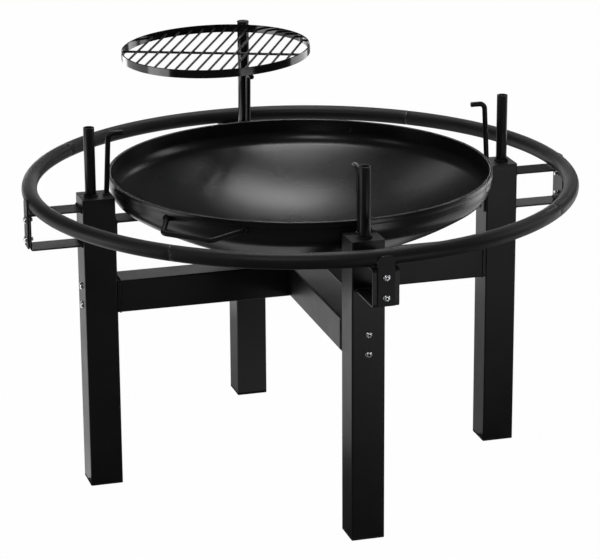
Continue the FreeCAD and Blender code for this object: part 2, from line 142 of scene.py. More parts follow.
def disc(bm, radius, matrix, segments):
    made = bmesh.ops.create_circle(bm, cap_ends=True, radius=radius, segments=segments, matrix=matrix)
    return made["verts"][0].link_faces[0]


def ring_face(bm, outer, inner, matrix, segments):
    """Flat ring, the section of a tube."""
    whole = disc(bm, outer, matrix, segments)
    bmesh.ops.inset_individual(bm, faces=[whole], thickness=outer - inner)
    ring = [f for f in bm.faces if f is not whole]
    bmesh.ops.delete(bm, geom=[whole], context="FACES_ONLY")
    return ring


def grow(bm, faces, travel):
    """Extrude faces by a vector, and give the faces at the far end."""
    grown = bmesh.ops.extrude_face_region(bm, geom=faces)["geom"]
    bmesh.ops.translate(bm, verts=[v for v in grown if isinstance(v, bmesh.types.BMVert)], vec=travel)
    return [f for f in grown if isinstance(f, bmesh.types.BMFace)]


def tube(outer, inner, start, end, segments=48, rim=0.4 * MM):
    """Open tube with eased rims."""
    bm = bmesh.new()
    ring = ring_face(bm, outer, inner, facing(start, end - start), segments)
    grow(bm, ring, end - start)
    bmesh.ops.recalc_face_normals(bm, faces=bm.faces)
    ease(bm, rim)
    return bm


def round_bar(radius, start, end, segments=16, rim=0.4 * MM):
    bm = bmesh.new()
    face = disc(bm, radius, facing(start, end - start), segments)
    grow(bm, [face], end - start)
    bmesh.ops.recalc_face_normals(bm, faces=bm.faces)
    ease(bm, rim)
    return bm


def bent_rod(radius, start, heading, moves, segments=24, rim=0.6 * MM):
    """Round rod made as on a bending machine.

    Each move is ("run", length) or ("turn", bend radius, degrees, axis).
    """
    bm = bmesh.new()
    face = disc(bm, radius, facing(start, heading), segments)
    at = start.copy()
    for move in moves:
        if move[0] == "run":
            face = grow(bm, [face], heading * move[1])[0]
            at = at + heading * move[1]
        else:
            bend, degrees, axis = move[1:]
            angle = math.radians(degrees)
            centre = at + axis.cross(heading) * bend
            turned = bmesh.ops.spin(bm, geom=[face], cent=centre, axis=axis, dvec=(0, 0, 0), angle=angle,
                                    space=Matrix.Identity(4), steps=max(3, round(abs(degrees) / 8)),
                                    use_merge=False, use_duplicate=False)
            face = [f for f in turned["geom_last"] if isinstance(f, bmesh.types.BMFace)][0]
            turn = Matrix.Rotation(angle, 4, axis)
            at = centre + turn @ (at - centre)
            heading = turn @ heading
    bmesh.ops.recalc_face_normals(bm, faces=bm.faces)
    ends = [e for e in sharp_edges(bm, 60.0)]
    ease(bm, rim, edges=ends)
    return bm


def spun(profile, steps, closed=True):
    """Solid of revolution about the Z axis; the profile is (radius, height) points."""
    bm = bmesh.new()
    verts = [bm.verts.new((radius, 0, height)) for radius, height in profile]
    edges = [bm.edges.new(pair) for pair in zip(verts, verts[1:])]
    if closed:
        edges.append(bm.edges.new((verts[-1], verts[0])))
    bmesh.ops.spin(bm, geom=verts + edges, cent=(0, 0, 0), axis=UP, dvec=(0, 0, 0), angle=math.tau,
                   space=Matrix.Identity(4), steps=steps, use_merge=True, use_duplicate=False)
    bmesh.ops.remove_doubles(bm, verts=bm.verts, dist=1e-6)
    bmesh.ops.recalc_face_normals(bm, faces=bm.faces)
    return bm


def arc(centre, radius, first, last, steps):
    """Points on an arc in the profile plane; angles in degrees from outwards, up is positive."""
    points = []
    for index in range(steps + 1):
        angle = math.radians(first + (last - first) * index / steps)
        points.append((centre[0] + radius * math.cos(angle), centre[1] + radius * math.sin(angle)))
    return points


def eased_piece(name, node, width, material):
    """A flat-faced piece of the stand, copied with its edges slightly rounded."""
    bm = bmesh.new()
    bm.from_mesh(frame["nodes"][node].data)
    bmesh.ops.remove_doubles(bm, verts=bm.verts, dist=1e-6)
    bmesh.ops.dissolve_limit(bm, angle_limit=math.radians(1.0), verts=bm.verts, edges=bm.edges,
                             use_dissolve_boundaries=False, delimit={"NORMAL"})
    ease(bm, width)
    piece(name, bm, "stand", material, [node], flat=True)


# ------------------------------------------------------------------ weld beads

def wobble(index, seed):
    """Small steady irregularity between -1 and 1."""
    return 0.6 * math.sin(index * 1.7 + seed) + 0.4 * math.sin(index * 0.61 + seed * 2.3)


def weld_bead(bm, line, size, seed=0.0, pitch=1.1 * MM, segments=8):
    """Rippled bead along a line of points: each ripple swells and narrows like a run of small pools."""
    stations = []
    for start, end in zip(line, line[1:]):
        steps = max(1, round((end - start).length / (pitch / 2)))
        for index in range(steps):
            stations.append((start.lerp(end, index / steps), (end - start).normalized()))
    stations.append((line[-1], (line[-1] - line[-2]).normalized()))
    last = len(stations) - 1
    face = None
    old = None
    for index, (point, ahead) in enumerate(stations):
        swell = 1.0 + (0.10 if index % 2 else -0.10) + 0.10 * wobble(index * 0.5, seed)
        if index in (0, last):
            swell *= 0.55
        new = facing(point, ahead) @ Matrix.Scale(size * swell, 4)
        if face is None:
            face = disc(bm, 1.0, new, segments)
        else:
            face = grow(bm, [face], Vector())[0]
            bmesh.ops.transform(bm, matrix=new @ old.inverted(), verts=face.verts)
        old = new


def ring_line(centre, radius, first=0.0, sweep=372.0, steps=48):
    """Points round a vertical round piece; a little more than a turn, where the bead overlaps."""
    line = []
    for index in range(steps + 1):
        angle = math.radians(first + sweep * index / steps)
        line.append(centre + Vector((radius * math.cos(angle), radius * math.sin(angle), 0)))
    return line


# ------------------------------------------------------------------ shader groups

def new_group(name, inputs, outputs):
    group = bpy.data.node_groups.new(name, "ShaderNodeTree")
    for label, kind, value in inputs:
        socket = group.interface.new_socket(name=label, in_out="INPUT", socket_type=kind)
        if value is not None:
            socket.default_value = value
    for label, kind in outputs:
        group.interface.new_socket(name=label, in_out="OUTPUT", socket_type=kind)
    return group, group.nodes.new("NodeGroupInput"), group.nodes.new("NodeGroupOutput")


def noise_in(group, source, scale_socket, detail, rough):
    """Noise whose feature size, in metres, is a group input."""
    link = group.links.new
    inverse = group.nodes.new("ShaderNodeMath")
    inverse.operation = "DIVIDE"
    inverse.inputs[0].default_value = 1.0
    link(source.outputs[scale_socket], inverse.inputs[1])
    noise = group.nodes.new("ShaderNodeTexNoise")
    noise.inputs["Detail"].default_value = detail
    noise.inputs["Roughness"].default_value = rough
    link(source.outputs["Vector"], noise.inputs["Vector"])
    link(inverse.outputs[0], noise.inputs["Scale"])
    return noise.outputs["Fac"]


def powder_group():
    """Powder coat: fine orange peel as a height, slow clouds of tone, and sparse pale specks."""
    group, source, sink = new_group(
        "powder texture",
        [("Vector", "NodeSocketVector", None), ("Peel size", "NodeSocketFloat", 0.0012),
         ("Cloud size", "NodeSocketFloat", 0.08), ("Speck size", "NodeSocketFloat", 0.0006)],
        [("Height", "NodeSocketFloat"), ("Tone", "NodeSocketFloat"), ("Speck", "NodeSocketFloat")])
    link = group.links.new
    link(noise_in(group, source, "Peel size", 2.0, 0.5), sink.inputs["Height"])
    link(noise_in(group, source, "Cloud size", 3.0, 0.55), sink.inputs["Tone"])
    ramp = group.nodes.new("ShaderNodeMapRange")
    ramp.inputs["From Min"].default_value = 0.62
    ramp.inputs["From Max"].default_value = 0.78
    link(noise_in(group, source, "Speck size", 1.0, 0.5), ramp.inputs["Value"])
    link(ramp.outputs["Result"], sink.inputs["Speck"])
    return group


def dust_group():
    """Fine dust that settles on faces that look up, thicker in patches."""
    group, source, sink = new_group(
        "settled dust",
        [("Vector", "NodeSocketVector", None), ("Patch size", "NodeSocketFloat", 0.05)],
        [("Mask", "NodeSocketFloat")])
    link = group.links.new
    geometry = group.nodes.new("ShaderNodeNewGeometry")
    split = group.nodes.new("ShaderNodeSeparateXYZ")
    link(geometry.outputs["Normal"], split.inputs[0])
    upward = group.nodes.new("ShaderNodeMapRange")
    upward.inputs["From Min"].default_value = 0.55
    upward.inputs["From Max"].default_value = 1.0
    link(split.outputs["Z"], upward.inputs["Value"])
    patch = group.nodes.new("ShaderNodeMapRange")
    patch.inputs["From Min"].default_value = 0.3
    patch.inputs["From Max"].default_value = 0.7
    patch.inputs["To Min"].default_value = 0.45
    link(noise_in(group, source, "Patch size", 4.0, 0.6), patch.inputs["Value"])
    both = group.nodes.new("ShaderNodeMath")
    both.operation = "MULTIPLY"
    link(upward.outputs["Result"], both.inputs[0])
    link(patch.outputs["Result"], both.inputs[1])
    link(both.outputs[0], sink.inputs["Mask"])
    return group


POWDER = powder_group()
DUST = dust_group()


# ------------------------------------------------------------------ materials

def mix_colour(nodes, link, factor, first, second):
    """Blend two colours; each is a plain colour or an output socket."""
    mix = nodes.new("ShaderNodeMix")
    mix.data_type = "RGBA"
    link(factor, mix.inputs["Factor"])
    for value, socket in ((first, mix.inputs[6]), (second, mix.inputs[7])):
        if isinstance(value, tuple):
            socket.default_value = (*value, 1.0)
        else:
            link(value, socket)
    return mix.outputs[2]


def spread(nodes, link, value, low, high):
    """Map a 0 to 1 value to a range."""
    ramp = nodes.new("ShaderNodeMapRange")
    ramp.inputs["From Min"].default_value = 0.3
    ramp.inputs["From Max"].default_value = 0.7
    ramp.inputs["To Min"].default_value = low
    ramp.inputs["To Max"].default_value = high
    link(value, ramp.inputs["Value"])
    return ramp.outputs["Result"]


def blank(name):
    material = bpy.data.materials.new(name)
    material.use_nodes = True
    nodes = material.node_tree.nodes
    link = material.node_tree.links.new
    shader = nodes["Principled BSDF"]
    place = nodes.new("ShaderNodeTexCoord").outputs["Object"]
    return material, nodes, link, shader, place


def coat(name, dark, pale, rough, peel=1.2 * MM, depth=0.05, cloud=0.08, dust=0.0, coat_weight=0.0,
         specular=0.5):
    """Black powder coat or paint: two tones in slow clouds, specks, peel and an uneven gloss."""
    material, nodes, link, shader, place = blank(name)
    texture = nodes.new("ShaderNodeGroup")
    texture.node_tree = POWDER
    texture.inputs["Peel size"].default_value = peel
    texture.inputs["Cloud size"].default_value = cloud
    link(place, texture.inputs["Vector"])
    tone = spread(nodes, link, texture.outputs["Tone"], 0.0, 1.0)
    colour = mix_colour(nodes, link, tone, dark, pale)
    speck = tuple(min(1.0, 2.2 * c + 0.01) for c in pale)
    colour = mix_colour(nodes, link, texture.outputs["Speck"], colour, speck)
    if dust:
        film = nodes.new("ShaderNodeGroup")
        film.node_tree = DUST
        link(place, film.inputs["Vector"])
        amount = nodes.new("ShaderNodeMath")
        amount.operation = "MULTIPLY"
        amount.inputs[1].default_value = dust
        link(film.outputs["Mask"], amount.inputs[0])
        colour = mix_colour(nodes, link, amount.outputs[0], colour, (0.30, 0.30, 0.29))
    link(colour, shader.inputs["Base Color"])
    link(spread(nodes, link, texture.outputs["Tone"], rough[0], rough[1]), shader.inputs["Roughness"])
    bump = nodes.new("ShaderNodeBump")
    bump.inputs["Strength"].default_value = 1.0
    bump.inputs["Distance"].default_value = depth * MM
    link(texture.outputs["Height"], bump.inputs["Height"])
    link(bump.outputs["Normal"], shader.inputs["Normal"])
    shader.inputs["Specular IOR Level"].default_value = specular
    if coat_weight:
        shader.inputs["Coat Weight"].default_value = coat_weight
        shader.inputs["Coat Roughness"].default_value = 0.08
    return material


def steel(name, dark, pale, rough, grain=0.5 * MM, depth=0.01):
    """Bare or plated steel: fine grain, cloudy tone and gloss."""
    material, nodes, link, shader, place = blank(name)
    texture = nodes.new("ShaderNodeGroup")
    texture.node_tree = POWDER
    texture.inputs["Peel size"].default_value = grain
    texture.inputs["Cloud size"].default_value = 8 * MM
    link(place, texture.inputs["Vector"])
    tone = spread(nodes, link, texture.outputs["Tone"], 0.0, 1.0)
    link(mix_colour(nodes, link, tone, dark, pale), shader.inputs["Base Color"])
    link(spread(nodes, link, texture.outputs["Tone"], rough[0], rough[1]), shader.inputs["Roughness"])
    bump = nodes.new("ShaderNodeBump")
    bump.inputs["Distance"].default_value = depth * MM
    link(texture.outputs["Height"], bump.inputs["Height"])
    link(bump.outputs["Normal"], shader.inputs["Normal"])
    shader.inputs["Metallic"].default_value = 1.0
    return material


FRAME_COAT = coat("frame powder coat", (0.006, 0.006, 0.0065), (0.010, 0.010, 0.0105), (0.36, 0.44),
                  dust=0.04)
RAIL_COAT = coat("rail powder coat", (0.011, 0.011, 0.012), (0.016, 0.016, 0.017), (0.44, 0.54),
                 dust=0.04, specular=0.4)
BOWL_COAT = coat("bowl heat paint", (0.006, 0.006, 0.0062), (0.009, 0.009, 0.0093), (0.25, 0.31),
                 peel=0.8 * MM, depth=0.02, cloud=0.15)
# Paler, glossier coat on the bowl's rim lip and the rail tubes' ends: a painted highlight where these edges
# catch the light.
PAINTED_EDGE_HIGHLIGHT = coat("painted highlight on edges", (0.05, 0.05, 0.051), (0.11, 0.11, 0.111), (0.24, 0.36),
                peel=0.8 * MM, depth=0.02, cloud=0.02)
HANDLE_COAT = coat("handle heat paint", (0.005, 0.005, 0.0052), (0.008, 0.008, 0.0083), (0.40, 0.48),
                   peel=0.8 * MM, depth=0.03, cloud=0.03, specular=0.3)
GRATE_COAT = coat("grate gloss paint", (0.004, 0.004, 0.0045), (0.007, 0.007, 0.0075), (0.10, 0.16),
                  peel=2.0 * MM, depth=0.015, coat_weight=0.4)
WELD_COAT = coat("coated weld", (0.007, 0.007, 0.0075), (0.014, 0.014, 0.0145), (0.28, 0.42),
                 peel=2.0 * MM, depth=0.12, cloud=0.01)
WIRE_COAT = coat("grate wire", (0.016, 0.016, 0.017), (0.035, 0.035, 0.037), (0.26, 0.38), peel=1.0 * MM,
                 cloud=0.03)
PLASTIC = coat("foot plastic", (0.012, 0.012, 0.0125), (0.018, 0.018, 0.0185), (0.45, 0.58), peel=0.5 * MM,
               depth=0.06)
ZINC = steel("zinc plating", (0.78, 0.79, 0.81), (0.92, 0.93, 0.95), (0.20, 0.30))
# Near-black steel laid in the screws' hexagon sockets: painted shade in the recess.
PAINTED_SOCKET_SHADE = steel("painted shade in a socket", (0.02, 0.02, 0.021), (0.06, 0.06, 0.062), (0.30, 0.45))
OILED = steel("oiled steel", (0.30, 0.30, 0.31), (0.45, 0.45, 0.46), (0.30, 0.45))

CAD_MATERIALS = {
    "frame_coat": FRAME_COAT, "rail_coat": RAIL_COAT, "bowl_coat": BOWL_COAT, "grate_coat": GRATE_COAT,
    "grate_wire": WIRE_COAT, "zinc_screws": ZINC, "plain_steel": OILED, "foot_plastic": PLASTIC,
    "pole_plug": PLASTIC,
}


def dress_cad_nodes():
    """Give every CAD piece the material of its slot."""
    for entry in frame["record"]["subparts"]:
        slots = frame["nodes"][entry["node"]].data.materials
        slots.clear()
        slots.append(CAD_MATERIALS[entry["material_slot"]])


# ------------------------------------------------------------------ stand

def stubs_and_welds():
    """Tube stubs; the weld round the foot of each stub but the back one is a rippled ring."""
    wall = 2 * MM
    for side in SIDES:
        at = Vector((STUB_AT, 0, 0))
        bm = tube(STUB_RADIUS, STUB_RADIUS - wall, at + UP * STUB_LOW.z, at + UP * STUB_HIGH.z)
        bm.transform(side_turn(side))
        piece("tube_stub_" + side, bm, "stand", FRAME_COAT, ["stub_" + side])
    beads = bmesh.new()
    for number, side in enumerate(("right", "left", "front")):
        ring = bmesh.new()
        centre = Vector((STUB_AT, 0, LEG_TOP + 1.2 * MM))
        weld_bead(ring, ring_line(centre, STUB_RADIUS + 1.1 * MM, 40.0 * number), 2.2 * MM, number)
        add_into(beads, ring, side_turn(side))
        ring.free()
    piece("stub_weld_beads", beads, "stand", WELD_COAT)


def hook_rods():
    """Bent round rods on the legs, with their welds."""
    radius = 5 * MM
    lean = math.radians(3.0)
    bend = 11 * MM
    low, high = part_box("hook_rod_right")
    foot = Vector((LEG_IN + 10 * MM, 0, LEG_TOP))
    heading = Vector((-math.sin(lean), 0, math.cos(lean)))
    elbow_height = high.z - radius - foot.z
    turn = 90.0 - 3.0
    cut = bend * math.tan(math.radians(turn / 2))
    upright = elbow_height / math.cos(lean) - cut
    arm_end = low.x
    elbow_x = foot.x - elbow_height * math.tan(lean)
    arm = elbow_x - arm_end - cut
    beads = bmesh.new()
    for number, side in enumerate(SIDES):
        bm = bent_rod(radius, foot, heading,
                      [("run", upright), ("turn", bend, turn, -Y_AXIS), ("run", arm)])
        bm.transform(side_turn(side))
        piece("tool_hook_" + side, bm, "stand", FRAME_COAT, ["hook_rod_" + side])
        ring = bmesh.new()
        line = ring_line(foot + UP * 1.0 * MM, radius + 0.8 * MM, 70.0 * number)
        weld_bead(ring, line, 1.9 * MM, number + 5)
        add_into(beads, ring, side_turn(side))
        ring.free()
    piece("hook_weld_beads", beads, "stand", WELD_COAT)


def rails():
    """Four bent tube segments, butted with a hairline gap."""
    gap = math.degrees(1.5 * MM / RAIL_BEND)
    joint_turn = 3.0
    wall = 2 * MM
    rim = 1.1 * MM
    for side in SIDES:
        bm = bmesh.new()
        first = math.radians(SIDES[side] - 45.0 + joint_turn + gap / 2)
        section = facing(Vector((RAIL_BEND, 0, RAIL_HEIGHT)), Y_AXIS)
        ring = ring_face(bm, RAIL_RADIUS, RAIL_RADIUS - wall, Matrix.Rotation(first, 4, "Z") @ section, 40)
        bmesh.ops.spin(bm, geom=ring, cent=(0, 0, 0), axis=UP, dvec=(0, 0, 0), angle=math.radians(90.0 - gap),
                       space=Matrix.Identity(4), steps=72, use_merge=False, use_duplicate=False)
        bmesh.ops.recalc_face_normals(bm, faces=bm.faces)
        ease(bm, rim, edges=sharp_edges(bm, 60.0))
        last = first + math.radians(90.0 - gap)
        # Faces on each segment's eased ends take the second, paler coat: a painted highlight along the seams.
        for face in bm.faces:
            at = face.calc_center_median()
            turn = (math.atan2(at.y, at.x) - first) % math.tau
            turn = turn - math.tau if turn > math.pi else turn
            if min(abs(turn), abs(turn - last + first)) * RAIL_BEND < rim:
                face.material_index = 1
        made = piece("rail_tube_" + side, bm, "stand", RAIL_COAT, ["rail_segment_" + side])
        made.data.materials.append(PAINTED_EDGE_HIGHLIGHT)


def bracket_work():
    """Brackets, holder plates and seats with eased edges, and the welds that hold them."""
    for side in SIDES:
        eased_piece("bracket_" + side, "rail_bracket_" + side, 0.5 * MM, FRAME_COAT)
        eased_piece("holder_plate_" + side, "rail_holder_plate_" + side, 0.5 * MM, RAIL_COAT)
        eased_piece("seat_" + side, "bowl_seat_" + side, 0.6 * MM, FRAME_COAT)
    beads = bmesh.new()
    one = bmesh.new()
    half = BRACKET_HIGH.y
    thick = 3 * MM
    out = LEG_OUT + 0.8 * MM
    for height in (BRACKET_HIGH.z, BRACKET_HIGH.z - thick, BRACKET_LOW.z + thick, BRACKET_LOW.z):
        shift = 0.8 * MM if height in (BRACKET_HIGH.z, BRACKET_LOW.z + thick) else -0.8 * MM
        line = [Vector((out, -half, height + shift)), Vector((out, half, height + shift))]
        weld_bead(one, line, 2.0 * MM, height * 100)
    x = RAIL_OUT - 0.6 * MM
    for y in (-HOLDER_HIGH.y, HOLDER_HIGH.y):
        line = [Vector((x, y, RAIL_HEIGHT - 8 * MM)), Vector((x, y, HOLDER_HIGH.z - 8 * MM))]
        weld_bead(one, line, 2.0 * MM, y * 90)
    for side in SIDES:
        add_into(beads, one, side_turn(side))
    one.free()
    piece("bracket_weld_beads", beads, "stand", WELD_COAT)


def beam_welds():
    """Fillets round the beams' ends and where the half beams meet the through beam."""
    low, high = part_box("cross_beam")
    corner = 3 * MM
    proud = 0.4 * MM
    half = high.y - corner
    top, bottom = high.z + proud, low.z - proud
    right, left = high.y + proud, low.y - proud
    face = high.x - 0.6 * MM
    one = bmesh.new()
    sides = [((half, top), (-half, top)), ((right, low.z + corner), (right, high.z - corner)),
             ((left, high.z - corner), (left, low.z + corner)), ((-half, bottom), (half, bottom))]
    for number, ((y0, z0), (y1, z1)) in enumerate(sides):
        weld_bead(one, [Vector((face, y0, z0)), Vector((face, y1, z1))], 1.6 * MM, number)
    beads = bmesh.new()
    for side in SIDES:
        add_into(beads, one, side_turn(side))
    one.free()
    centre = bmesh.new()
    for number, ((y0, z0), (y1, z1)) in enumerate(sides):
        x = high.y + 0.6 * MM
        weld_bead(centre, [Vector((x, y0, z0)), Vector((x, y1, z1))], 1.8 * MM, number + 9)
    for side in ("front", "back"):
        add_into(beads, centre, side_turn(side))
    centre.free()
    piece("beam_weld_beads", beads, "stand", WELD_COAT)


def eased_frame_pieces():
    """Small plates and caps whose edges catch the light."""
    for side in SIDES:
        eased_piece("top_plate_" + side, "leg_top_plate_" + side, 0.5 * MM, FRAME_COAT)
        eased_piece("foot_" + side, "foot_cap_" + side, 0.6 * MM, PLASTIC)


# ------------------------------------------------------------------ screws

HEAD_RADIUS = 7 * MM
SOCKET = 5 * MM
SHANK_RADIUS = 4 * MM
THREAD_PITCH = 1.25 * MM


def screw_head():
    """Round head with a hexagon socket; its underside is at z = 0."""
    dome = 4.2 * MM
    edge = 0.3 * MM
    depth = 2.6 * MM
    corner = SOCKET / 2 / math.cos(math.radians(30))
    profile = [(0, 0), (HEAD_RADIUS - edge, 0), (HEAD_RADIUS, edge)]
    profile += arc((HEAD_RADIUS - dome, edge), dome, 8, 78, 8)
    top = profile[-1][1]
    profile += [(corner + 0.25 * MM, top), (0, top)]
    head = spun(profile, 36, closed=False)
    cutter = bmesh.new()
    hexagon = disc(cutter, corner, Matrix.Translation(UP * (top - depth)), 6)
    grow(cutter, [hexagon], UP * 6 * MM)
    bmesh.ops.recalc_face_normals(cutter, faces=cutter.faces)
    head = cut_away(head, cutter)
    # Faces deep in the hexagon socket take the second, dark material: painted shade in the recess.
    for face in head.faces:
        at = face.calc_center_median()
        in_socket = math.hypot(at.x, at.y) < SOCKET * 0.56
        if in_socket and 0.5 * MM < at.z < top - 0.2 * MM:
            face.material_index = 1
    return head


def screw(length, threaded):
    """Round-headed screw along +Z, its head's underside at z = 0; the thread is at the far end."""
    head = screw_head()
    root = SHANK_RADIUS - 0.65 * MM
    height = length - threaded
    profile = [(0, 0), (SHANK_RADIUS, 0), (SHANK_RADIUS, -height)]
    while height + THREAD_PITCH <= length - 0.8 * MM:
        profile.append((root, -(height + THREAD_PITCH * 0.45)))
        profile.append((root, -(height + THREAD_PITCH * 0.55)))
        profile.append((SHANK_RADIUS, -(height + THREAD_PITCH * 0.95)))
        profile.append((SHANK_RADIUS, -(height + THREAD_PITCH)))
        height += THREAD_PITCH
    profile += [(SHANK_RADIUS - 0.8 * MM, -length), (0, -length)]
    shank = spun(profile, 24, closed=False)
    add_into(head, shank)
    shank.free()
    return head


def cut_away(bm, cutter):
    """Boolean difference of two closed bmeshes."""
    scene = bpy.context.scene
    objects = []
    for label, source in (("body", bm), ("cutter", cutter)):
        mesh = bpy.data.meshes.new(label)
        source.to_mesh(mesh)
        source.free()
        made = bpy.data.objects.new(label, mesh)
        scene.collection.objects.link(made)
        objects.append(made)
    body, tool = objects
    modifier = body.modifiers.new("cut", "BOOLEAN")
    modifier.operation = "DIFFERENCE"
    modifier.solver = "EXACT"
    modifier.object = tool
    graph = bpy.context.evaluated_depsgraph_get()
    result = bpy.data.meshes.new_from_object(body.evaluated_get(graph))
    bm = bmesh.new()
    bm.from_mesh(result)
    for made in objects:
        mesh = made.data
        bpy.data.objects.remove(made)
        bpy.data.meshes.remove(mesh)
    bpy.data.meshes.remove(result)
    return bm


def screws():
    """The three groups of screws, each turned a little differently, as driven by hand."""
    low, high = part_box("frame_bolts")
    head_out = middle("leg_right").x + LEG_HALF
    frame_heights = (low.z + HEAD_RADIUS, high.z - HEAD_RADIUS)
    low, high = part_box("rail_bolts")
    rail_heights = (low.z + HEAD_RADIUS, high.z - HEAD_RADIUS)
    low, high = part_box("seat_bolts")
    seat_heights = ((low.z + high.z) / 2,)
    seat_face = LEG_IN - 4 * MM
    plans = (
        ("frame_screws", "frame_bolts", frame_heights, head_out, X_AXIS, screw(80 * MM, 22 * MM)),
        ("rail_screws", "rail_bolts", rail_heights, HOLDER_HIGH.x, X_AXIS, screw(13 * MM, 8 * MM)),
        ("seat_screws", "seat_bolts", seat_heights, seat_face, -X_AXIS, screw(18 * MM, 12 * MM)),
    )
    for name, node, heights, seat, outwards, one in plans:
        group = bmesh.new()
        for number, side in enumerate(SIDES):
            for row, height in enumerate(heights):
                spin = Matrix.Rotation(math.radians(17.0 * number + 41.0 * row), 4, "Z")
                add_into(group, one, side_turn(side) @ facing(Vector((seat, 0, height)), outwards) @ spin)
        one.free()
        made = piece(name, group, "stand", ZINC, [node])
        # The second slot holds the painted shade for the sockets.
        made.data.materials.append(PAINTED_SOCKET_SHADE)


# ------------------------------------------------------------------ bowl

def bowl():
    """Pressed dish with a knuckle, a short wall and a rim folded over outwards."""
    sheet = 3 * MM
    wall = BOWL_RADIUS - sheet
    inside = wall - sheet
    knuckle = 37 * MM
    knuckle_height = RIM_TOP - 22 * MM
    knuckle_centre = wall - knuckle
    dish = knuckle_height - BOWL_LOW.z
    crown = (knuckle_centre ** 2 + dish ** 2 - knuckle ** 2) / (2 * (dish - knuckle))
    crown_angle = math.degrees(math.asin(knuckle_centre / (crown - knuckle)))
    crown_height = BOWL_LOW.z + crown
    hem = RIM_TOP - 12 * MM
    hem_edge = 1.2 * MM
    lip = 1.25 * MM
    lip_height = RIM_TOP - lip
    slit = 0.5 * MM
    slit_foot = RIM_TOP - 3 * MM
    groove = 0.3 * MM
    groove_top = hem + 3 * MM
    profile = arc((0, crown_height), crown, -90, crown_angle - 90, 24)
    profile += arc((knuckle_centre, knuckle_height), knuckle, crown_angle - 90, 0, 14)[1:]
    profile += [(wall, groove_top), (wall + groove, groove_top), (wall + groove, hem + 0.7 * MM)]
    profile += arc((wall + sheet - hem_edge, hem + hem_edge), hem_edge, -130, 0, 5)
    profile += arc((BOWL_RADIUS - lip, lip_height), lip, 0, 180, 8)
    profile += [(wall + slit, slit_foot), (wall - slit, slit_foot)]
    profile += arc((inside + lip, lip_height), lip, 0, 180, 8)
    profile += arc((knuckle_centre, knuckle_height), knuckle - sheet, 0, crown_angle - 90, 14)
    profile += arc((0, crown_height), crown - sheet, crown_angle - 90, -90, 24)[1:]
    bm = spun(profile, 192, closed=False)
    # Faces on top of the folded rim take the second, paler coat: a painted highlight along the rim's lip.
    for face in bm.faces:
        if face.calc_center_median().z > RIM_TOP - 0.6 * MM:
            face.material_index = 1
    made = piece("fire_bowl", bm, "bowl", BOWL_COAT, ["bowl"])
    made.data.materials.append(PAINTED_EDGE_HIGHLIGHT)


def handle(name, azimuth, node):
    """Bent rod handle with lumpy welds at its feet, drawn across the X axis and turned to its place."""
    radius = 5 * MM
    bend = 14 * MM
    wall = BOWL_RADIUS - 3 * MM
    foot = 165 * MM / 2
    grip = 102 * MM / 2
    reach = 58 * MM
    high = RIM_TOP - 19 * MM
    low = high - 6 * MM
    sink = 1.5 * MM
    start = Vector((math.sqrt(wall ** 2 - foot ** 2), foot, high))
    corner = Vector((wall + reach, grip, low))
    mirrored = Vector((wall + reach, -grip, low))
    heading = (corner - start).normalized()
    across = (mirrored - corner).normalized()
    axis = heading.cross(across).normalized()
    turn = math.degrees(heading.angle(across))
    cut = bend * math.tan(math.radians(turn / 2))
    limb = (corner - start).length - cut
    moves = [("run", sink), ("run", limb), ("turn", bend, turn, axis),
             ("run", (mirrored - corner).length - 2 * cut), ("turn", bend, turn, axis),
             ("run", limb), ("run", sink)]
    bm = bent_rod(radius, start - heading * sink, heading, moves)
    beads = bmesh.new()
    for number, sign in enumerate((1, -1)):
        centre = Vector((start.x + 1.2 * MM, sign * start.y, start.z))
        along = Vector((heading.x, sign * heading.y, heading.z)).to_track_quat("Z", "Y").to_matrix()
        ring = ring_line(Vector(), radius + 0.5 * MM, 30.0, 368.0, 24)
        weld_bead(beads, [centre + along @ point for point in ring], 2.6 * MM, number * 3.0)
    turned = Matrix.Rotation(math.radians(azimuth), 4, "Z")
    bm.transform(turned)
    beads.transform(turned)
    piece("handle_rod_" + name, bm, "bowl", HANDLE_COAT, [node])
    piece("handle_weld_beads_" + name, beads, "bowl", WELD_COAT)


# ------------------------------------------------------------------ grate

HOOP_RADIUS = 188 * MM
HOOP_BAND = 16 * MM
HOOP_THICK = 3 * MM
CROSS_BAR = 5 * MM
WIRE = 4.5 * MM


def grate_matrix():
    """Place of the hoop: drawn from the weld on the pole along +X, then sagged, rolled and swung."""
    sag = Matrix.Rotation(math.radians(1.3), 4, "Y")
    roll = Matrix.Rotation(math.radians(1.4), 4, "X")
    lift = Matrix.Translation(Vector((POLE_RADIUS, 0, POLE_HIGH.z - 2 * MM)))
    swing = Matrix.Rotation(math.radians(270.0 - 31.0), 4, "Z")
    return Matrix.Translation(POLE_AT) @ swing @ lift @ sag @ roll


def hoop():
    """Flat band rolled to a ring."""
    edge = 0.6 * MM
    outer, inner = HOOP_RADIUS, HOOP_RADIUS - HOOP_THICK
    profile = [(outer - edge, 0), (outer, -edge), (outer, edge - HOOP_BAND), (outer - edge, -HOOP_BAND),
               (inner + edge, -HOOP_BAND), (inner, edge - HOOP_BAND), (inner, -edge), (inner + edge, 0)]
    bm = spun(profile, 160)
    bm.transform(grate_matrix() @ Matrix.Translation(X_AXIS * HOOP_RADIUS))
    piece("grate_band", bm, "grate", GRATE_COAT, ["grate_hoop"])


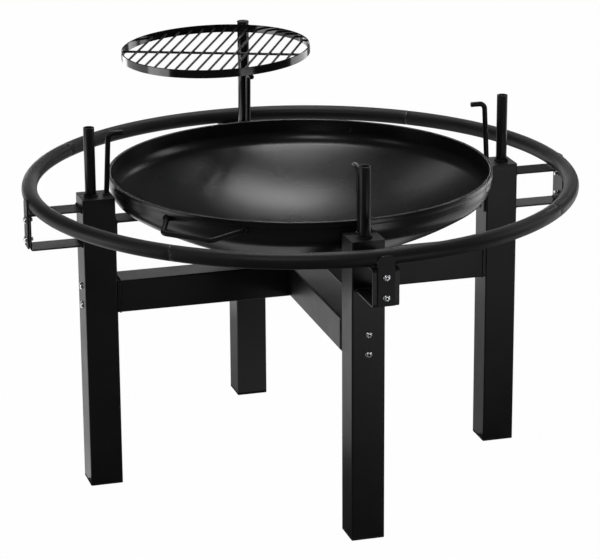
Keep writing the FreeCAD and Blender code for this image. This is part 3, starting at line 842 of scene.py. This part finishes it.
def wires():
    """Parallel wires on one cross bar, with a small weld at each end and crossing."""
    count = 15
    pitch = 22.4 * MM
    inside = HOOP_RADIUS - HOOP_THICK
    middle_of_hoop = Matrix.Translation(X_AXIS * HOOP_RADIUS)
    height = CROSS_BAR + WIRE / 2 - HOOP_BAND
    rods = bmesh.new()
    spots = bmesh.new()
    for number in range(count):
        across = (number - (count - 1) / 2) * pitch
        half = math.sqrt(inside ** 2 - across ** 2)
        start = Vector((-half, across, height))
        end = Vector((half, across, height))
        bar = round_bar(WIRE / 2, start, end, 12, 0.2 * MM)
        add_into(rods, bar)
        bar.free()
        for place, stretch in ((start + X_AXIS * 0.6 * MM, 1.2), (end - X_AXIS * 0.6 * MM, 1.2)):
            squash = Matrix.Translation(place - UP * 0.4 * MM) @ Matrix.Diagonal((stretch, 1.5, 0.9, 1.0))
            bmesh.ops.create_icosphere(spots, subdivisions=1, radius=2.1 * MM, matrix=squash)
        crossing = Vector((0, across, CROSS_BAR - HOOP_BAND))
        flat = Matrix.Translation(crossing) @ Matrix.Diagonal((1.0, 1.2, 0.6, 1.0))
        bmesh.ops.create_icosphere(spots, subdivisions=1, radius=2.2 * MM, matrix=flat)
    place = grate_matrix() @ middle_of_hoop @ Matrix.Rotation(math.radians(3.0), 4, "Z")
    rods.transform(place)
    piece("wire_grid", rods, "grate", WIRE_COAT, ["grate_wires"])
    height = CROSS_BAR / 2 - HOOP_BAND
    bar = round_bar(CROSS_BAR / 2, Vector((0, -inside, height)), Vector((0, inside, height)), 16)
    bar.transform(place)
    piece("cross_bar", bar, "grate", WIRE_COAT, ["grate_cross_bar"])
    for sign in (-1, 1):
        end = Vector((0, sign * (inside - 0.8 * MM), height))
        blob = Matrix.Translation(end) @ Matrix.Diagonal((1.5, 1.0, 1.1, 1.0))
        bmesh.ops.create_icosphere(spots, subdivisions=2, radius=2.5 * MM, matrix=blob)
    spots.transform(place)
    piece("grate_spot_welds", spots, "grate", WELD_COAT, smooth=80.0)


def pole():
    """Grate's pole, its plug, and the weld that holds the band."""
    base = Vector((POLE_AT.x, POLE_AT.y, POLE_LOW.z))
    top = Vector((POLE_AT.x, POLE_AT.y, POLE_HIGH.z))
    bore = POLE_RADIUS - 1.2 * MM
    bm = tube(POLE_RADIUS, bore, base, top, 56)
    piece("pole_tube", bm, "grate", GRATE_COAT, ["grate_pole"])
    low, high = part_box("grate_pole_cap")
    head = (high.x - low.x) / 2
    profile = [(0, top.z - 14 * MM), (bore - 0.3 * MM, top.z - 14 * MM), (bore - 0.05 * MM, top.z - 12 * MM)]
    profile += [(bore - 0.05 * MM, top.z), (head, top.z), (head, high.z - 1.4 * MM)]
    profile += arc((head - 1.2 * MM, high.z - 1.4 * MM), 1.2 * MM, 20, 80, 4)
    profile += [(head * 0.6, high.z - 0.05 * MM), (0, high.z)]
    bm = spun(profile, 48, closed=False)
    bm.transform(Matrix.Translation(POLE_AT))
    piece("pole_plug", bm, "grate", PLASTIC, ["grate_pole_cap"])
    beads = bmesh.new()
    for sign in (-1, 1):
        line = [Vector((0.6 * MM, sign * 4.4 * MM, z * MM)) for z in (-14.0, -10.0, -5.0, -1.0)]
        weld_bead(beads, line, 1.9 * MM, sign * 2.0)
    beads.transform(grate_matrix())
    piece("band_weld_beads", beads, "grate", WELD_COAT)


# ------------------------------------------------------------------ room, lights and camera

def area_light(name, at, target, width, depth, power):
    data = bpy.data.lights.new(name, "AREA")
    data.shape = "RECTANGLE"
    data.size = width
    data.size_y = depth
    data.energy = power
    light = bpy.data.objects.new(name, data)
    bpy.context.scene.collection.objects.link(light)
    light.location = at
    light.rotation_mode = "QUATERNION"
    light.rotation_quaternion = (Vector(target) - Vector(at)).to_track_quat("-Z", "Y")
    light.visible_camera = False
    return light


def floor():
    """Pale floor. It looks near white, and gives the piece less light from below than it would if lit so."""
    bm = bmesh.new()
    bmesh.ops.create_grid(bm, x_segments=1, y_segments=1, size=30.0)
    mesh = bpy.data.meshes.new("floor")
    bm.to_mesh(mesh)
    bm.free()
    ground = bpy.data.objects.new("floor", mesh)
    bpy.context.scene.collection.objects.link(ground)
    material = bpy.data.materials.new("pale floor")
    material.use_nodes = True
    nodes = material.node_tree.nodes
    link = material.node_tree.links.new
    shader = nodes["Principled BSDF"]
    shader.inputs["Base Color"].default_value = (0.18, 0.18, 0.18, 1)
    shader.inputs["Roughness"].default_value = 0.8
    glow = nodes.new("ShaderNodeEmission")
    glow.inputs["Color"].default_value = (1, 1, 1, 1)
    glow.inputs["Strength"].default_value = 0.99
    path = nodes.new("ShaderNodeLightPath")
    mix = nodes.new("ShaderNodeMixShader")
    link(path.outputs["Is Camera Ray"], mix.inputs["Fac"])
    link(shader.outputs[0], mix.inputs[1])
    link(glow.outputs[0], mix.inputs[2])
    link(mix.outputs[0], nodes["Material Output"].inputs["Surface"])
    mesh.materials.append(material)


def lights():
    world = bpy.data.worlds.new("studio")
    bpy.context.scene.world = world
    world.use_nodes = True
    back = world.node_tree.nodes["Background"]
    back.inputs["Color"].default_value = (1, 1, 1, 1)
    back.inputs["Strength"].default_value = 0.05
    area_light("overhead softbox", (0.1, 0.45, 3.0), (0.1, 0.4, 0.5), 1.1, 0.6, 16)
    area_light("high back softbox", (0.8, 1.9, 3.0), (0, 0.2, 0.5), 0.9, 0.6, 11)
    area_light("high left softbox", (-0.6, 3.0, 3.0), (0, 0.2, 0.5), 0.9, 0.8, 3)
    area_light("back softbox", (0.8, 4.2, 0.65), (0, 0, 0.5), 3.6, 1.1, 34)
    area_light("floor bounce", (-1.7, 1.9, 0.005), (-1.7, 1.9, 2.0), 2.8, 3.8, 27)
    area_light("right floor bounce", (1.3, 0.1, 0.005), (1.3, 0.1, 2.0), 1.0, 1.4, 3)
    area_light("middle floor bounce", (-0.1, 0.4, 0.005), (-0.1, 0.4, 2.0), 1.1, 0.8, 0.8)
    area_light("right softbox", (3.0, -0.4, 1.4), (0, 0, 0.5), 0.8, 1.6, 10)
    area_light("far right softbox", (2.6, 1.7, 2.0), (0, 0, 0.5), 0.6, 0.6, 5)
    area_light("front softbox", (-1.6, -3.4, 3.6), (0, 0, 0.5), 1.0, 1.0, 25)
    area_light("back floor bounce", (-0.1, 1.5, 0.005), (-0.1, 1.5, 2.0), 0.8, 1.2, 2.5)
    area_light("left softbox", (-3.2, -0.6, 2.2), (0, 0, 0.5), 0.8, 0.8, 4)
    area_light("left card", (-2.2, 0.1, 0.35), (0, 0.1, 0.6), 1.15, 0.65, 6)
    area_light("near right card", (0.7, -1.75, 0.14), (0, 0.1, 0.7), 0.6, 0.26, 1.6)
    area_light("far right card", (1.75, 0.8, 0.22), (0, 0.1, 0.7), 1.6, 0.42, 4)
    area_light("far left card", (-1.0, 2.4, 0.25), (0, 0.1, 0.7), 0.7, 0.4, 2)


def camera():
    """Camera a little left of the front, looking slightly down."""
    azimuth, elevation, roll = (math.radians(a) for a in (16.21, 17.97, -0.36))
    distance = 5.337
    aim = Vector((-0.0017, 0.0, 0.3723))
    away = Vector((-math.sin(azimuth) * math.cos(elevation), -math.cos(azimuth) * math.cos(elevation),
                   math.sin(elevation)))
    data = bpy.data.cameras.new("camera")
    data.lens = 162.96
    data.clip_end = 100.0
    made = bpy.data.objects.new("camera", data)
    bpy.context.scene.collection.objects.link(made)
    made.location = aim + away * distance
    made.rotation_mode = "QUATERNION"
    look = (-away).to_track_quat("-Z", "Y")
    made.rotation_quaternion = look @ Matrix.Rotation(roll, 3, "Z").to_quaternion()
    bpy.context.scene.camera = made


bpy.context.scene.view_settings.view_transform = "Standard"
camera()
lights()
floor()
dress_cad_nodes()
eased_frame_pieces()
stubs_and_welds()
hook_rods()
rails()
bracket_work()
beam_welds()
screws()
bowl()
handle("right", 45.0, "bowl_handle_right")
handle("left", 225.0, "bowl_handle_left")
hoop()
wires()
pole()
